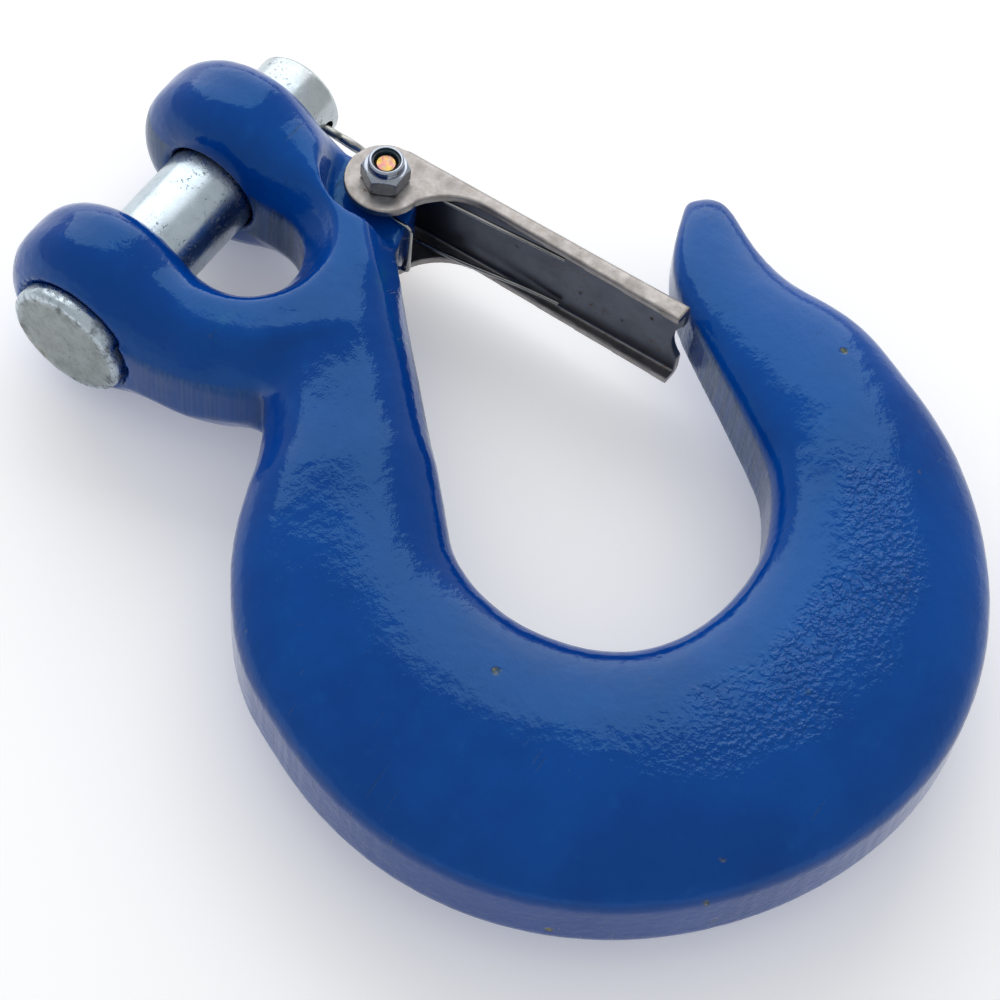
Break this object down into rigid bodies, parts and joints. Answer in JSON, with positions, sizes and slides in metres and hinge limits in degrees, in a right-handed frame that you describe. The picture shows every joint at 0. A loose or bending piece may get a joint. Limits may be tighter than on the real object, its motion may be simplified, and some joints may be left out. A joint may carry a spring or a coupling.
{
  "type": "clevis slip hook",
  "caption": "Forged clevis slip hook for a chain end, with a headed clevis pin held by a cotter and a spring-loaded sheet-steel latch across its throat.",
  "frame": {"origin": "on the clevis pin's axis, midway between the two ears", "axes": "+X along the clevis pin from its head to its cotter end, +Y along the load line away from the hook's bowl, +Z square to the hook's flat, on the latch nut's side"},
  "size_m": [0.1265, 0.1669, 0.0332],
  "materials": {
    "blue_enamel": "glossy blue enamel over lumpy forged steel",
    "pin_zinc": "bright bluish zinc plating, worn at the head's rim",
    "cotter_steel": "dull grey wire",
    "latch_zinc": "satin zinc with brown stains and small pits",
    "bolt_steel": "zinc plating with a yellow tint",
    "nut_steel": "bright zinc plating",
    "nylon": "dark teal nylon",
    "spring_steel": "bright drawn wire"
  },
  "bodies": {
    "hook": {"hook_body": "blue_enamel", "latch_bolt": "bolt_steel", "latch_nut": "nut_steel", "nut_insert": "nylon", "latch_spring": "spring_steel"},
    "pin": {"clevis_pin": "pin_zinc", "cotter_pin": "cotter_steel"},
    "latch": {"latch": "latch_zinc"}
  },
  "joints": [
    {"name": "latch_hinge", "type": "hinge", "parent": "hook", "child": "latch", "pos_m": [0.02255, -0.025, 0], "axis": [0, 0, -1], "range_deg": [0, 52], "stiffness_Nm_per_rad": 0.03, "springref_deg": -34.38, "deforming": ["latch_spring"]},
    {"name": "clevis_pin_spin", "type": "hinge", "parent": "hook", "child": "pin", "pos_m": [0, 0, 0], "axis": [1, 0, 0], "continuous": true}
  ]
}
